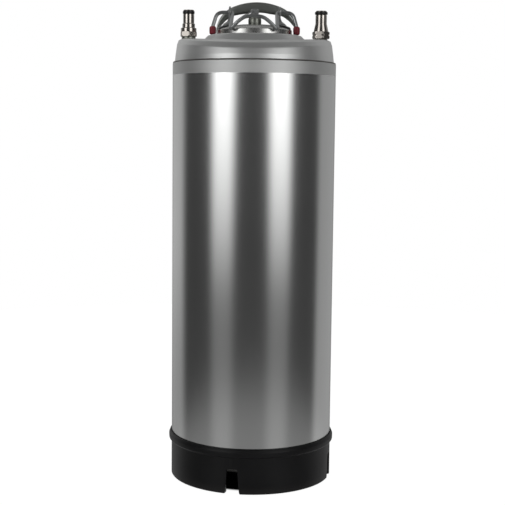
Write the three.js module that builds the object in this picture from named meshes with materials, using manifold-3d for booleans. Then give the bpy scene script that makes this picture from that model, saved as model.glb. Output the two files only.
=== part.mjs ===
// Ball-lock beer keg: stainless shell, rubber foot, strap handle, clamped oval lid and two posts.
// Millimetres, +Z up, origin on the floor under the middle of the foot, +X towards the gas post.

import * as THREE from "three";
import { mergeVertices } from "three/addons/utils/BufferGeometryUtils.js";
import Module from "manifold-3d";

const wasm = await Module();
wasm.setup();

// Driving dimensions.
const SIDES = 48;
const SHELL_R = 108;
const SHELL_WALL = 0.9;
const SHELL_BOTTOM_Z = 52;
const SHELL_TOP_Z = 552.6;
const HEAD_TOP_Z = 583.9;
const RIM_TOP_Z = 589.8;
const OPENING_A = 50.8;
const OPENING_B = 42.3;
const BOOT_LIP_R = 111.5;
const BOOT_LIP_TOP_Z = 59.8;
const BOOT_WALL_Z = 50;
const NOTCH_TURN = -10.9;
const NOTCH_WIDTH_TOP = 14;
const NOTCH_WIDTH_FOOT = 19;
const NOTCH_HEIGHT = 32.5;
const POST_X = 87.5;
const HEX_FLATS = 20.7;
const PIVOT_Z = 620;
const WIRE_R = 2.4;
const BRACKET_X = 33;
const BRACKET_PLATE = 2.2;
const FOOT_X = 55.2;
const FOOT_LEAN = 12;
const STRAP_Y = [13, 41];
const STRAP_X = 2.2;
const STRAP_LEG_X = 54;
const STRAP_GAUGE = 1.8;
const GAP = 0.3;

const STEEL = { color: 0xb9bbba, roughness: 0.32, metalness: 1.0 };
const SATIN = { color: 0xa9abaa, roughness: 0.48, metalness: 1.0 };
const POLISHED = { color: 0xc6c3bd, roughness: 0.2, metalness: 1.0 };
const BLACK_RUBBER = { color: 0x161616, roughness: 0.6, metalness: 0.0 };
const RED_RUBBER = { color: 0x601a22, roughness: 0.5, metalness: 0.0 };

const rad = THREE.MathUtils.degToRad;
const keg = new THREE.Group();

function add(name, geometry, look) {
  geometry.computeVertexNormals();
  const mesh = new THREE.Mesh(geometry, new THREE.MeshStandardMaterial({ ...look, flatShading: true }));
  mesh.name = name;
  keg.add(mesh);
}

// Closed solids for joining and cutting.
function solid(geometry) {
  const bare = geometry.clone();
  bare.deleteAttribute("normal");
  bare.deleteAttribute("uv");
  const merged = mergeVertices(bare, 1e-4);
  const vertProperties = new Float32Array(merged.attributes.position.array);
  const triVerts = new Uint32Array(merged.index.array);
  return new wasm.Manifold(new wasm.Mesh({ numProp: 3, vertProperties, triVerts }));
}

function geometryOf(body) {
  const mesh = body.getMesh();
  const geometry = new THREE.BufferGeometry();
  geometry.setAttribute("position", new THREE.BufferAttribute(new Float32Array(mesh.vertProperties), 3));
  geometry.setIndex(new THREE.BufferAttribute(new Uint32Array(mesh.triVerts), 1));
  return geometry;
}

// A turned piece about Z. The profile of [r, z] runs up the outside and down the inside.
function turned(profile, sides = SIDES) {
  const points = profile.map(([r, z]) => new THREE.Vector2(r, z));
  const last = profile.length - 1;
  if (profile[0][0] > 0 || profile[last][0] > 0) {
    points.push(points[0].clone());
  }
  const geometry = new THREE.LatheGeometry(points, sides);
  geometry.rotateX(Math.PI / 2);
  return geometry;
}

// A ring whose sections are ovals. The profile of [a, b, z, drop] runs up the outside and down the inside,
// and each section is lower by its drop at the front and back than at the sides.
function ovalRing(profile, sides = SIDES) {
  const positions = [];
  const faces = [];
  for (const [a, b, z, drop = 0] of profile) {
    for (let k = 0; k < sides; k++) {
      const turn = (2 * Math.PI * k) / sides;
      positions.push(a * Math.cos(turn), b * Math.sin(turn), z - drop * Math.sin(turn) ** 2);
    }
  }
  const rows = profile.length;
  for (let i = 0; i < rows; i++) {
    const up = (i + 1) % rows;
    for (let k = 0; k < sides; k++) {
      const on = (k + 1) % sides;
      faces.push(i * sides + k, i * sides + on, up * sides + on);
      faces.push(i * sides + k, up * sides + on, up * sides + k);
    }
  }
  const geometry = new THREE.BufferGeometry();
  geometry.setAttribute("position", new THREE.Float32BufferAttribute(positions, 3));
  geometry.setIndex(faces);
  return geometry;
}

// A tube or wire along a list of [x, y, z] points, hollow when an inner radius is given.
function swept(points, radius, { inner = 0, sides = 10, steps = 40, closed = false } = {}) {
  const path = new THREE.CatmullRomCurve3(
    points.map((p) => new THREE.Vector3(...p)),
    closed,
    "centripetal",
  );
  const section = new THREE.Shape();
  for (let k = 0; k < sides; k++) {
    const turn = (2 * Math.PI * k) / sides;
    const x = radius * Math.cos(turn);
    const y = radius * Math.sin(turn);
    if (k === 0) {
      section.moveTo(x, y);
    } else {
      section.lineTo(x, y);
    }
  }
  section.closePath();
  if (inner > 0) {
    const hole = new THREE.Path();
    for (let k = 0; k < sides; k++) {
      const turn = (-2 * Math.PI * k) / sides;
      if (k === 0) {
        hole.moveTo(inner, 0);
      } else {
        hole.lineTo(inner * Math.cos(turn), inner * Math.sin(turn));
      }
    }
    hole.closePath();
    section.holes.push(hole);
  }
  return new THREE.ExtrudeGeometry(section, { steps, extrudePath: path, bevelEnabled: false });
}

// A flat outline in X and Z, pushed from y0 to y1.
function slabXZ(outline, y0, y1) {
  const shape = new THREE.Shape(outline.map(([x, z]) => new THREE.Vector2(x, z)));
  const geometry = new THREE.ExtrudeGeometry(shape, { depth: y1 - y0, bevelEnabled: false });
  geometry.rotateX(Math.PI / 2);
  geometry.translate(0, y1, 0);
  return geometry;
}

// A flat outline in Y and Z, pushed from x0 to x1.
function slabYZ(outline, x0, x1) {
  const shape = new THREE.Shape(outline.map(([y, z]) => new THREE.Vector2(y, z)));
  const geometry = new THREE.ExtrudeGeometry(shape, { depth: x1 - x0, bevelEnabled: false });
  geometry.rotateY(Math.PI / 2);
  geometry.rotateX(Math.PI / 2);
  geometry.translate(x0, 0, 0);
  return geometry;
}

function rod(radius, z0, z1, sides = 24) {
  return turned([[0, z0], [radius, z0], [radius, z1], [0, z1]], sides);
}

function arc(cx, cz, radius, from, to, count) {
  const points = [];
  for (let k = 0; k <= count; k++) {
    const turn = rad(from + ((to - from) * k) / count);
    points.push([cx + radius * Math.cos(turn), cz + radius * Math.sin(turn)]);
  }
  return points;
}

// Shell.
add("barrel", turned([
  [SHELL_R, SHELL_BOTTOM_Z],
  [SHELL_R, SHELL_TOP_Z],
  [SHELL_R - SHELL_WALL, SHELL_TOP_Z],
  [SHELL_R - SHELL_WALL, SHELL_BOTTOM_Z],
]), STEEL);

const headOuter = [
  [106.4, 106.4, 537.5], [106.4, 106.4, 551.0], [105.5, 105.5, 553.5], [105.0, 105.0, 555.6],
  [104.4, 104.4, 562.0, 1.5], [103.1, 103.6, 572.0, 7.0], [102.5, 102.6, 575.5, 6.9],
  [101.8, 101.0, 578.5, 6.7], [100.5, 98.9, 581.0, 6.7], [99.2, 96.5, 582.4, 6.4], [97.9, 94.0, 583.2, 6.2],
  [96.0, 91.0, 583.7, 6.2], [93.0, 88.0, HEAD_TOP_Z, 6.2], [66.6, 58.6, HEAD_TOP_Z, 4.4],
  [65.6, 57.6, 584.7, 3.8], [64.2, 56.2, 586.2, 2.6],
  [62.6, 54.6, 588.0, 1.2], [61.0, 53.0, 589.3, 0.4], [59.4, 51.4, RIM_TOP_Z], [51.8, 43.3, RIM_TOP_Z],
  [OPENING_A, OPENING_B, 589.0],
];
const headInner = [
  [OPENING_A, OPENING_B, 586.8], [58.4, 50.4, 586.8], [62.2, 54.2, 584.5, 1.2], [64.9, 56.9, 581.9, 4.2],
  [92.5, 87.0, 581.9, 6.2], [96.4, 92.0, 581.2, 6.6], [99.2, 96.8, 578.6, 6.6], [101.1, 100.4, 571.6, 6.0],
  [103.0, 103.0, 555.4], [104.6, 104.6, 550.6], [104.6, 104.6, 537.5],
];
const BOSS = { liquid: { x: -POST_X, r: 9.1 }, gas: { x: POST_X, r: 8.35 } };
let head = solid(ovalRing([...headOuter, ...headInner]));
for (const { x, r } of Object.values(BOSS)) {
  head = head.subtract(solid(rod(r + GAP, 570, 600).translate(x, 0, 0)));
}
add("top_head", geometryOf(head), SATIN);

add("bottom_head", turned([
  [0, 14.0], [40, 15.5], [72, 18.8], [90, 23.5], [99, 30.0], [103, 39.0], [104.6, 49.6],
  [106.4, 54.4], [106.4, 69.5], [104.6, 69.5], [104.6, 55.0], [102.7, 49.6], [101.2, 40.0],
  [97.6, 31.6], [89.2, 25.4], [71.8, 20.8], [40, 17.5], [0, 16.0],
]), SATIN);

add("top_weld", turned([
  [107.7, 553.0], [107.4, 554.0], [106.6, 554.5], [106.0, 554.3], [106.2, 553.2], [106.6, 553.0],
]), SATIN);
add("bottom_weld", turned([
  [106.8, 50.4], [107.7, 50.7], [107.7, 51.7], [106.2, 51.7], [105.6, 50.8],
]), SATIN);

// Rubber foot, open through the middle, with four drain notches in its skirt.
let boot = solid(turned([
  [100, 0], [107.2, 0], [108.2, 1.2], [108.2, 47.5], [111.2, 49.6], [BOOT_LIP_R, 51.0],
  [BOOT_LIP_R, 54.0], [110.9, 56.8], [109.8, 58.9], [108.9, BOOT_LIP_TOP_Z], [108.3, 59.4],
  [108.3, BOOT_WALL_Z], [105, BOOT_WALL_Z], [105, 7.5], [103.5, 5], [100, 4.4],
]));
for (let k = 0; k < 4; k++) {
  const notch = slabXZ([
    [-NOTCH_WIDTH_FOOT / 2, -2], [NOTCH_WIDTH_FOOT / 2, -2], [NOTCH_WIDTH_FOOT / 2 - 0.5, 6],
    [NOTCH_WIDTH_TOP / 2, NOTCH_HEIGHT - 1], [NOTCH_WIDTH_TOP / 2 - 1, NOTCH_HEIGHT],
    [1 - NOTCH_WIDTH_TOP / 2, NOTCH_HEIGHT], [-NOTCH_WIDTH_TOP / 2, NOTCH_HEIGHT - 1],
    [0.5 - NOTCH_WIDTH_FOOT / 2, 6],
  ], -125, -92);
  boot = boot.subtract(solid(notch.rotateZ(rad(NOTCH_TURN + 90 * k))));
}
add("base_boot", geometryOf(boot), BLACK_RUBBER);

// Strap handle: a channel bent into a hoop, its legs trimmed to the head.
const CROWN_R = 83;
const CROWN_Z = 552.2;
const CROWN_TURN = 23;
const shoulderR = (STRAP_LEG_X - CROWN_R * Math.sin(rad(CROWN_TURN))) / (1 - Math.sin(rad(CROWN_TURN)));
const shoulderX = (CROWN_R - shoulderR) * Math.sin(rad(CROWN_TURN));
const shoulderZ = CROWN_Z + (CROWN_R - shoulderR) * Math.cos(rad(CROWN_TURN));
const crown = arc(0, CROWN_Z, CROWN_R, 90, 90 - CROWN_TURN, 7);
const shoulder = arc(shoulderX, shoulderZ, shoulderR, 90 - CROWN_TURN, 0, 9).slice(1);
const outerHalf = [...crown, ...shoulder, [STRAP_LEG_X, 575]];
function inset(points, depthAt) {
  return points.map(([x, z], i) => {
    const before = points[Math.max(i - 1, 0)];
    const after = points[Math.min(i + 1, points.length - 1)];
    const dx = after[0] - before[0];
    const dz = after[1] - before[1];
    const size = Math.hypot(dx, dz);
    const depth = depthAt(x);
    return i === 0 ? [0, z - depth] : [x + (dz * depth) / size, z - (dx * depth) / size];
  });
}
function hoop(outer, inner) {
  const mirror = (points) => points.slice(1).map(([x, z]) => [-x, z]);
  return [...outer.slice().reverse(), ...mirror(outer), ...mirror(inner).reverse(), ...inner];
}
const FLANGE = [[0, 11.4], [20, 11.2], [31, 9.6], [38, 8.0], [45, 7.0], [50.5, 5.0], [53, 2.8],
  [STRAP_LEG_X, 2.0]];
function flangeDepth(x) {
  const k = Math.max(1, FLANGE.findIndex(([at]) => at >= Math.min(x, STRAP_LEG_X)));
  const [x0, d0] = FLANGE[k - 1];
  const [x1, d1] = FLANGE[k];
  return d0 + ((d1 - d0) * (Math.min(x, STRAP_LEG_X) - x0)) / (x1 - x0);
}
const web = inset(outerHalf, () => STRAP_GAUGE);
const skirt = inset(outerHalf, flangeDepth);
let strap = solid(slabXZ(hoop(outerHalf, web), STRAP_Y[0], STRAP_Y[1]));
for (const y0 of [STRAP_Y[0], STRAP_Y[1] - STRAP_GAUGE]) {
  strap = strap.add(solid(slabXZ(hoop(outerHalf, skirt), y0, y0 + STRAP_GAUGE)));
}
const raisedHead = [
  [106.8, 106.8, 560],
  ...headOuter.slice(5, 19).map(([a, b, z, drop = 0]) => [a + 0.25, b + 0.25, z + 0.35, drop]),
  [40, 32, RIM_TOP_Z + 0.35], [40, 32, 560],
];
strap = strap.translate([STRAP_X, 0, 0]).subtract(solid(ovalRing(raisedHead)));
add("strap_handle", geometryOf(strap), STEEL);

// Two posts on threaded bosses, each with a dip tube, a seal, a poppet and its spring.
const POST = {
  liquid: {
    turn: 10,
    hex: [588.1, 594.2],
    outer: [[7.6, 588.1], [10.35, 594.1], [10.35, 599.1], [8.35, 599.8], [8.35, 604.6], [7.35, 605.2],
      [7.35, 617.3], [6.3, 617.6], [6.3, 621.6], [7.0, 622.2], [6.6, 622.8]],
    ring: 7.8,
  },
  gas: {
    turn: 16,
    hex: [586.3, 595.4],
    outer: [[7.6, 586.3], [9.6, 595.3], [9.6, 596.4], [7.5, 606.0], [7.5, 616.9], [6.3, 617.2],
      [6.3, 621.4], [7.1, 622.0], [6.7, 622.6]],
    ring: 8.4,
  },
};
for (const [side, post] of Object.entries(POST)) {
  const { x, r } = BOSS[side];
  const [hexLow, hexHigh] = post.hex;
  const top = post.outer[post.outer.length - 1][1];
  add(`${side}_boss`, turned([
    [5.2, 577], [r, 577], [r, hexLow - GAP], [7.0, hexLow - GAP], [7.0, 595.0], [5.2, 595.0],
  ], 24).translate(x, 0, 0), SATIN);
  const corner = HEX_FLATS / Math.sqrt(3);
  let nut = solid(turned([[0, hexLow], [corner, hexLow], [corner, hexHigh], [0, hexHigh]], 6)
    .rotateZ(rad(90 + post.turn)));
  nut = nut.intersect(solid(turned([
    [0, hexLow], [10.6, hexLow], [12.2, hexLow + 1.2], [12.2, hexHigh - 1.2], [10.6, hexHigh], [0, hexHigh],
  ], 36)));
  if (side === "gas") {
    nut = nut.subtract(solid(turned([
      [10.7, 591.0], [13.5, 589.6], [13.5, 592.4],
    ], 36)));
  }
  nut = nut.add(solid(turned([[0, hexLow], ...post.outer, [0, top]], 24)));
  nut = nut.subtract(solid(turned([
    [0, hexLow - 2], [7.4, hexLow - 2], [7.4, 598.6], [5.2, 600.4], [5.2, 618.6], [3.5, 619.6],
    [3.5, top + 2], [0, top + 2],
  ], 24)));
  add(`${side}_post`, geometryOf(nut.translate([x, 0, 0])), POLISHED);
  add(`${side}_post_ring`, turned([
    [6.6, 617.9], [post.ring - 0.5, 617.9], [post.ring, 618.6], [post.ring, 620.5],
    [post.ring - 0.5, 621.1],
    [6.6, 621.1],
  ], 24).translate(x, 0, 0), BLACK_RUBBER);
  add(`${side}_tube_seal`, turned([
    [4.5, 595.9], [5.0, 595.3], [6.0, 595.3], [6.5, 595.9], [6.5, 596.6], [6.0, 597.0], [5.0, 597.0],
    [4.5, 596.6],
  ], 24).translate(x, 0, 0), BLACK_RUBBER);
  const route = side === "gas"
    ? [[x, 0, 597.3], [x, 0, 575], [x, 0, 552]]
    : [[x, 0, 597.3], [x, 0, 400], [x, 0, 200], [x, 0, 90], [x + 3, 0, 66], [x + 14, 0, 46],
      [x + 34, 0, 32],
      [x + 60, 0, 26.5], [x + 82, 0, 24]];
  const pipe = solid(swept(route, 4.0, { inner: 3.2, sides: 8, steps: side === "gas" ? 2 : 30 }));
  const collar = solid(turned([[3.2, 597.2], [6.6, 597.3], [6.6, 598.3], [3.2, 598.3]], 24)
    .translate(x, 0, 0));
  add(`${side}_dip_tube`, geometryOf(pipe.add(collar)), SATIN);
  add(`${side}_poppet`, turned([
    [0, 614.8], [2.6, 614.8], [2.6, 616.2], [4.8, 616.2], [4.8, 617.4], [3.2, 618.3], [2.2, 618.6],
    [2.0, 621.2], [1.2, 621.8], [0, 621.8],
  ], 20).translate(x, 0, 0), POLISHED);
  const coil = [];
  const turns = 5;
  for (let k = 0; k <= turns * 8; k++) {
    const turn = (2 * Math.PI * k) / 8;
    coil.push([x + 3.9 * Math.cos(turn), 3.9 * Math.sin(turn), 599.3 + (16.0 * k) / (turns * 8)]);
  }
  add(`${side}_poppet_spring`, swept(coil, 0.5, { sides: 5, steps: turns * 9 }), STEEL);
}

// Lid: a dished oval plate that pulls up against the rim from inside, with its seal.
const lidProfile = [
  [58.1, 49.6, 578.0], [58.5, 50.0, 578.5], [58.5, 50.0, 579.6], [58.1, 49.6, 580.0], [50.3, 41.8, 580.0],
  [49.3, 40.8, 581.2], [49.3, 40.8, 595.4], [48.8, 40.3, 596.6], [47.6, 39.1, 597.6], [45.0, 36.8, 598.8],
  [38.0, 31.2, 601.2], [24.5, 20.2, 603.2], [6.6, 6.6, 604.0], [6.6, 6.6, 602.2], [24.0, 19.8, 601.4],
  [37.4, 30.8, 599.4], [44.2, 36.0, 597.0], [46.8, 38.4, 595.9], [47.5, 39.0, 594.8],
  [47.5, 39.0, 580.2], [48.6, 40.1, 578.4], [49.4, 40.9, 578.0],
];
add("lid_plate", ovalRing(lidProfile), STEEL);
const seal = [];
for (let k = 0; k < 10; k++) {
  const turn = rad(36 * k - 90);
  seal.push([54 + 3 * Math.cos(turn), 45.5 + 3 * Math.cos(turn), 583.45 + 3 * Math.sin(turn)]);
}
add("lid_seal", ovalRing(seal), BLACK_RUBBER);

// Brackets on the lid that carry the bail.
for (const [name, sign] of [["left_bracket", -1], ["right_bracket", 1]]) {
  const inner = BRACKET_X - BRACKET_PLATE / 2;
  const outer = BRACKET_X + BRACKET_PLATE / 2;
  const angle = [
    [47.6, 598.1], [47.4, 599.6], [42.8, 601.4], [39.8, 604.6], [36.2, 607.4], [outer + 0.4, 610.6],
    [outer, 613], [outer, 632], [inner, 632], [inner, 602.6], [38.2, 601.5], [45.2, 599.1],
  ];
  const bent = solid(slabXZ(angle.map(([x, z]) => [sign * x, z]), -13, 13));
  const tip = arc(0, PIVOT_Z, 7.8, -12, 192, 14);
  const face = slabYZ([[-13, 597], [13, 597], [13, 604.5], [9.6, 607.5], ...tip, [-9.6, 607.5],
    [-13, 604.5]], -60, 60);
  const pin = rod(WIRE_R + GAP, -60, 60, 24).rotateY(Math.PI / 2).translate(0, 0, PIVOT_Z);
  add(name, geometryOf(bent.intersect(solid(face)).subtract(solid(pin))), STEEL);
}

// Relief valve through the middle of the lid.
add("relief_body", turned([
  [2.4, 590.0], [6.2, 590.0], [6.2, 604.4], [7.6, 604.4], [8.6, 605.4], [8.6, 611.0], [8.0, 611.8],
  [8.0, 616.2], [7.2, 617.0], [5.4, 617.0], [5.4, 599.6], [2.4, 598.2],
], 24), STEEL);
const lockNut = solid(rod(10.4, 594.0, 600.5, 6)).subtract(solid(rod(6.6, 590, 605, 24)));
add("relief_nut", geometryOf(lockNut), STEEL);
add("relief_cap", turned([
  [1.9, 614.2], [5.1, 614.2], [5.1, 617.2], [4.6, 617.6], [1.9, 617.6],
], 24), STEEL);
add("relief_seal", turned([[2.6, 599.2], [4.9, 600.4], [4.9, 601.4], [2.6, 601.4]], 20), BLACK_RUBBER);
let stem = solid(turned([
  [0, 598.6], [1.9, 598.6], [1.9, 601.7], [4.6, 601.7], [4.6, 603.2], [1.5, 603.4], [1.5, 618.0],
  [4.8, 618.3], [5.4, 619.2], [5.4, 623.2], [4.4, 624.6], [0, 624.7],
], 20));
const tab = slabXZ([[-8, 590], [8, 590], [8, 630], [-8, 630]], -3, 3);
const below = rod(8, 590, 617.9, 20);
stem = stem.intersect(solid(tab).add(solid(below)));
stem = stem.subtract(solid(rod(1.9, -10, 10, 16).rotateX(Math.PI / 2).translate(0, 0, 621.2)));
add("relief_stem", geometryOf(stem), POLISHED);
const reliefCoil = [];
for (let k = 0; k <= 40; k++) {
  const turn = (2 * Math.PI * k) / 8;
  reliefCoil.push([3.6 * Math.cos(turn), 3.6 * Math.sin(turn), 604.2 + (9.2 * k) / 40]);
}
add("relief_spring", swept(reliefCoil, 0.5, { sides: 5, steps: 45 }), STEEL);
const pull = [];
const PULL_R = 9.0;
for (let k = 0; k < 24; k++) {
  const turn = (2 * Math.PI * k) / 24;
  pull.push([PULL_R * Math.cos(turn) - PULL_R, PULL_R * Math.sin(turn), 0]);
}
add("pull_ring", swept(pull, 0.9, { sides: 8, steps: 32, closed: true }).rotateY(rad(-22))
  .translate(0, 0, 621.2), POLISHED);

// Bail: one bent wire, hinged in the brackets, with a rubber foot on each leg.
const lean = rad(FOOT_LEAN);
const legPoint = (x, drop) => [x, -drop * Math.sin(lean), PIVOT_Z - drop * Math.cos(lean)];
const bailHalf = [
  legPoint(FOOT_X, 27.5), legPoint(FOOT_X, 23), legPoint(FOOT_X - 0.1, 19), legPoint(FOOT_X - 1.2, 14.5),
  legPoint(FOOT_X - 2.5, 10), legPoint(FOOT_X - 3.7, 6), legPoint(FOOT_X - 5.6, 2.9),
  legPoint(FOOT_X - 8.8, 0.8), [42.5, 0, PIVOT_Z], [38, 0, PIVOT_Z], [34.4, 0, PIVOT_Z],
  [31.8, 0, PIVOT_Z], [30.2, -0.9, 619.6], [29.5, -2.6, 618.6], [29.3, -5, 617.3],
  [29.6, -16, 610.6], [30, -28, 602.9], [30.3, -36, 598.0], [29.6, -39.6, 596.0], [27.6, -41.4, 597.4],
  [24.1, -42, 601.0], [18.9, -42.5, 605.7], [12.4, -42.9, 609.9], [6, -43.1, 611.4], [0, -43.2, 611.8],
];
const mirrored = bailHalf.slice(0, -1).map(([x, y, z]) => [-x, y, z]).reverse();
add("bail_wire", swept([...bailHalf, ...mirrored], WIRE_R, { sides: 8, steps: 96 }), STEEL);
for (const [name, sign] of [["left_bail_foot", -1], ["right_bail_foot", 1]]) {
  const cup = turned([
    [0, -29.6], [3.6, -29.6], [4.5, -28.8], [4.5, -20.2], [3.9, -19.4], [WIRE_R + GAP, -19.4],
    [WIRE_R + GAP, -27.9], [0, -27.9],
  ], 20);
  add(name, cup.rotateX(-lean).translate(sign * FOOT_X, 0, PIVOT_Z), RED_RUBBER);
}

export default keg;
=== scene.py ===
import math

import bmesh
import bpy
import numpy as np
from mathutils import Matrix


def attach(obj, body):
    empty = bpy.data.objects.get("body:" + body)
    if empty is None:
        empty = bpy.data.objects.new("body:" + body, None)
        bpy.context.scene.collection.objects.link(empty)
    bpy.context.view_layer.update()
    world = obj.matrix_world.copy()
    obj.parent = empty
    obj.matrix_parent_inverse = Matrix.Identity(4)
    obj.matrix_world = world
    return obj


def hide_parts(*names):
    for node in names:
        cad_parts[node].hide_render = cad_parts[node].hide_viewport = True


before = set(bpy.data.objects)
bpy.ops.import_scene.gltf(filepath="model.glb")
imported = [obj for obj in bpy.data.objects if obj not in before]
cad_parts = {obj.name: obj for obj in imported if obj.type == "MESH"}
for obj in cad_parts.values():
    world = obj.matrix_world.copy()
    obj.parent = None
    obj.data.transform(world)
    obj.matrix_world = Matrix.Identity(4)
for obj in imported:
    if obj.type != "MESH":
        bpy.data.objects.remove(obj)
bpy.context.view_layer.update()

bl_info = {
    "name": "Beer keg looks",
    "version": (1, 0, 0),
    "blender": (4, 5, 0),
    "location": "View3D > Sidebar > Keg",
    "description": "Builds the visible pieces and finishes of a ball-lock beer keg around its packed frame",
    "category": "Object",
}

MM = 0.001
AROUND = 256
HEAD_Z = 583.9
RIM_Z = 589.8
PIVOT_Z = 620.0
POST_X = 87.5
OVAL_STEP = 8.5
SHOULDER_ROW = 34
NOTCH_TURN = -10.9
STRAP_X = 2.2
STRAP_LEG = 54.0
STRAP_TURN = 23.0
CROWN_R = 83.0
CROWN_Z = 552.2
FOOT_X = 55.2
FOOT_LEAN = 12
EYELET_X = 33
BARREL_R = 108.0
NOTCHES = 4
EVEN_TURNS = 288
VIEW_TURN = 1.8
VIEW_PITCH = 6.18
VIEW_ROLL = 0.57
EYE_DISTANCE = 1.540
EYE_HEIGHT = 0.4684
FLOOR_RADIUS = 1.5
FLOOR_SIDES = 96
# Radius of the painted shadow on the floor under the keg; it fades out by OPEN_RADIUS.
PAINTED_SHADOW_RADIUS = 0.086
OPEN_RADIUS = 0.094
FLOOR_GLOW = 1.40
GLOW_SHARE = 0.7
SPACE_BETWEEN = 0.06


# ---------------------------------------------------------------- shapes

def rounded(corners, steps=6, closed=False):
    """Polyline through corners (..., radius last): each corner is swapped for the arc tangent to its two sides."""
    pts = [np.array(c[:-1], float) for c in corners]
    radii = [c[-1] for c in corners]
    out = []
    count = len(pts)
    for i in range(count):
        p, radius = pts[i], radii[i]
        if radius <= 0 or (not closed and i in (0, count - 1)):
            out.append(p)
            continue
        a, b = pts[i - 1] - p, pts[(i + 1) % count] - p
        la, lb = np.linalg.norm(a), np.linalg.norm(b)
        a, b = a / la, b / lb
        half = math.acos(float(np.clip(a @ b, -1, 1))) / 2
        if half > math.pi / 2 - 0.01:
            out.append(p)
            continue
        run = min(radius / math.tan(half), 0.49 * la, 0.49 * lb)
        radius = run * math.tan(half)
        middle = (a + b) / np.linalg.norm(a + b)
        centre = p + middle * radius / math.sin(half)
        start, end = p + a * run - centre, p + b * run - centre
        sweep = math.pi - 2 * half
        for t in np.linspace(0, 1, steps + 1):
            out.append(centre + (start * math.sin((1 - t) * sweep) + end * math.sin(t * sweep)) / math.sin(sweep))
    return np.array(out)


def piece(name, grid, body, material, nodes=(), wrap=(True, True), caps=False, sharp=35.0):
    """A mesh from a (rows, columns, 3) grid in millimetres: each cell is one quad. The grid is wrapped where asked,
    and its ends are capped where asked."""
    rows, cols = grid.shape[:2]
    i = np.arange(rows if wrap[0] else rows - 1)
    j = np.arange(cols if wrap[1] else cols - 1)
    ii, jj = np.meshgrid(i, j, indexing="ij")
    up, on = (ii + 1) % rows, (jj + 1) % cols
    quads = np.stack([ii * cols + jj, ii * cols + on, up * cols + on, up * cols + jj], -1).reshape(-1, 4)
    faces = quads.tolist()
    if caps:
        faces.append(list(range(cols))[::-1])
        faces.append([(rows - 1) * cols + k for k in range(cols)])
    mesh = bpy.data.meshes.new(name)
    mesh.from_pydata((grid.reshape(-1, 3) * MM).tolist(), [], faces)
    return finish_mesh(name, mesh, body, material, nodes, sharp)


def finish_mesh(name, mesh, body, material, nodes, sharp):
    """Merges doubled points, turns faces outward, smooths all but the sharp edges, and puts the piece on its
    body."""
    work = bmesh.new()
    work.from_mesh(mesh)
    bmesh.ops.remove_doubles(work, verts=work.verts, dist=2e-6)
    bmesh.ops.recalc_face_normals(work, faces=work.faces)
    work.to_mesh(mesh)
    work.free()
    mesh.shade_smooth()
    mesh.set_sharp_from_angle(angle=math.radians(sharp))
    mesh.materials.append(material)
    obj = bpy.data.objects.new(name, mesh)
    bpy.context.scene.collection.objects.link(obj)
    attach(obj, body)
    if nodes:
        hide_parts(*nodes)
    return obj


def turned(profile, sides=AROUND):
    """Surface of revolution: each [r, z] of the profile is carried round Z."""
    profile = np.asarray(profile, float)
    turn = 2 * np.pi * np.arange(sides) / sides
    r, z = profile[:, 0, None], profile[:, 1, None]
    return np.stack([r * np.cos(turn), r * np.sin(turn), z + 0 * turn], -1)


def oval(side, front, sides=AROUND):
    """Like turned, but [a, z] of side is met at the left and right and [b, z] of front at the front and back. A
    point's x is a times the cosine of its turn, its y is b times the sine, and its z goes from one to the other
    with the square of the sine."""
    side, front = np.asarray(side, float), np.asarray(front, float)
    turn = 2 * np.pi * np.arange(sides) / sides
    ahead = np.sin(turn) ** 2
    x, y = side[:, 0, None] * np.cos(turn), front[:, 0, None] * np.sin(turn)
    return np.stack([x, y, side[:, 1, None] * (1 - ahead) + front[:, 1, None] * ahead], -1)


def narrowed(side):
    """The front profile of an oval piece: OVAL_STEP narrower than the side profile, and round again at the middle."""
    side = np.asarray(side, float)
    return np.stack([side[:, 0] - OVAL_STEP * np.clip(side[:, 0] / 46.0, 0, 1), side[:, 1]], -1)


def sweep(path, section, closed=False, up=(0.0, 0.0, 1.0)):
    """Carries sections along a path: each section point lies in the plane across the path's tangent."""
    path = np.asarray(path, float)
    if closed:
        tangent = np.roll(path, -1, 0) - np.roll(path, 1, 0)
    else:
        tangent = np.gradient(path, axis=0)
    tangent /= np.linalg.norm(tangent, axis=1, keepdims=True)
    normal = np.array(up, float)
    side = np.empty_like(path)
    for k in range(len(path)):
        normal = normal - tangent[k] * (normal @ tangent[k])
        normal /= np.linalg.norm(normal)
        side[k] = normal
    across = np.cross(tangent, side)
    section = np.asarray(section, float)
    if section.ndim == 2:
        section = np.broadcast_to(section, (len(path),) + section.shape)
    return path[:, None] + section[..., 0:1] * side[:, None] + section[..., 1:2] * across[:, None]


def circle(radius, count):
    """Section points at equal turns: radius times the cosine, and radius times the sine."""
    turn = 2 * np.pi * np.arange(count) / count
    return np.stack([radius * np.cos(turn), radius * np.sin(turn)], -1)


def through(points, per):
    """Centripetal Catmull-Rom curve: between two points a cubic whose knots are spaced by the root of the chord."""
    p = np.asarray(points, float)
    p = np.vstack([2 * p[0] - p[1], p, 2 * p[-1] - p[-2]])
    out = []
    for k in range(1, len(p) - 2):
        p0, p1, p2, p3 = p[k - 1:k + 3]
        d = [math.sqrt(np.linalg.norm(b - a)) for a, b in ((p0, p1), (p1, p2), (p2, p3))]
        t1 = d[0]
        t2 = t1 + d[1]
        t3 = t2 + d[2]
        t = np.linspace(t1, t2, per, endpoint=False)[:, None]
        a1 = (t1 - t) / t1 * p0 + t / t1 * p1
        a2 = (t2 - t) / (t2 - t1) * p1 + (t - t1) / (t2 - t1) * p2
        a3 = (t3 - t) / (t3 - t2) * p2 + (t - t2) / (t3 - t2) * p3
        b1 = (t2 - t) / t2 * a1 + t / t2 * a2
        b2 = (t3 - t) / (t3 - t1) * a2 + (t - t1) / (t3 - t1) * a3
        out.append((t2 - t) / (t2 - t1) * b1 + (t - t1) / (t2 - t1) * b2)
    out.append(p[-2][None])
    return np.vstack(out)


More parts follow.
